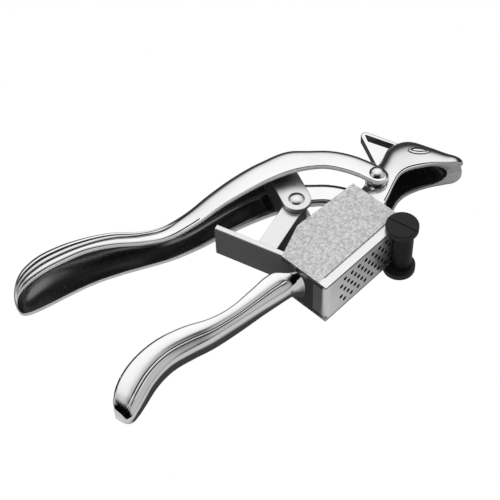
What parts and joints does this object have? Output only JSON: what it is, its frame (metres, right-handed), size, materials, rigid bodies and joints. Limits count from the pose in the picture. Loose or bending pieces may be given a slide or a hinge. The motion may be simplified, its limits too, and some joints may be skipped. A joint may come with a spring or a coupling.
{
  "type": "garlic press",
  "caption": "Hand garlic press with an animal-head front, curved hollow handles, a hinged plunger, a perforated hopper and a sliding cleaner.",
  "frame": {"origin": "on the main pivot axis, at the plane of the main rivet's flat far head, which the press rests on", "axes": "+X along the perforated face towards the animal's head, +Y from the perforated face to the hopper's mouth, +Z along the pivot axes, away from the surface it rests on"},
  "size_m": [0.1916, 0.1126, 0.0303],
  "materials": {
    "polished_casting": "mirror polished chrome plate",
    "sieve_steel": "satin stainless sheet",
    "sanded_plate": "fine sand-textured face with a polished rail",
    "rivet_steel": "polished steel",
    "washer_steel": "plain steel",
    "plunger_metal": "satin cast metal",
    "cleaner_plastic": "fine-grained black moulded plastic"
  },
  "bodies": {
    "lower_press": {"lower_lever": "polished_casting", "sieve_tray": "sieve_steel", "side_plate_near": "sanded_plate", "side_plate_far": "sanded_plate", "main_rivet": "rivet_steel", "main_washer_near": "washer_steel", "main_washer_far": "washer_steel"},
    "upper_press": {"upper_lever": "polished_casting", "plunger_rivet": "rivet_steel", "plunger_washer_near": "washer_steel", "plunger_washer_far": "washer_steel"},
    "plunger": {"plunger": "plunger_metal"},
    "cleaner": {"cleaner_bar": "cleaner_plastic", "cleaner_cap_near": "cleaner_plastic", "cleaner_cap_far": "cleaner_plastic"}
  },
  "joints": [
    {"name": "lever_pivot", "type": "hinge", "parent": "lower_press", "child": "upper_press", "pos_m": [0, 0, 0.01515], "axis": [0, 0, 1], "range_deg": [-45, 10]},
    {"name": "plunger_swing", "type": "hinge", "parent": "upper_press", "child": "plunger", "pos_m": [-0.03, 0.0192, 0.01515], "axis": [0, 0, 1], "range_deg": [-4, 61]},
    {"name": "cleaner_slide", "type": "slide", "parent": "lower_press", "child": "cleaner", "axis": [1, 0, 0], "range_m": [-0.038, 0]}
  ]
}
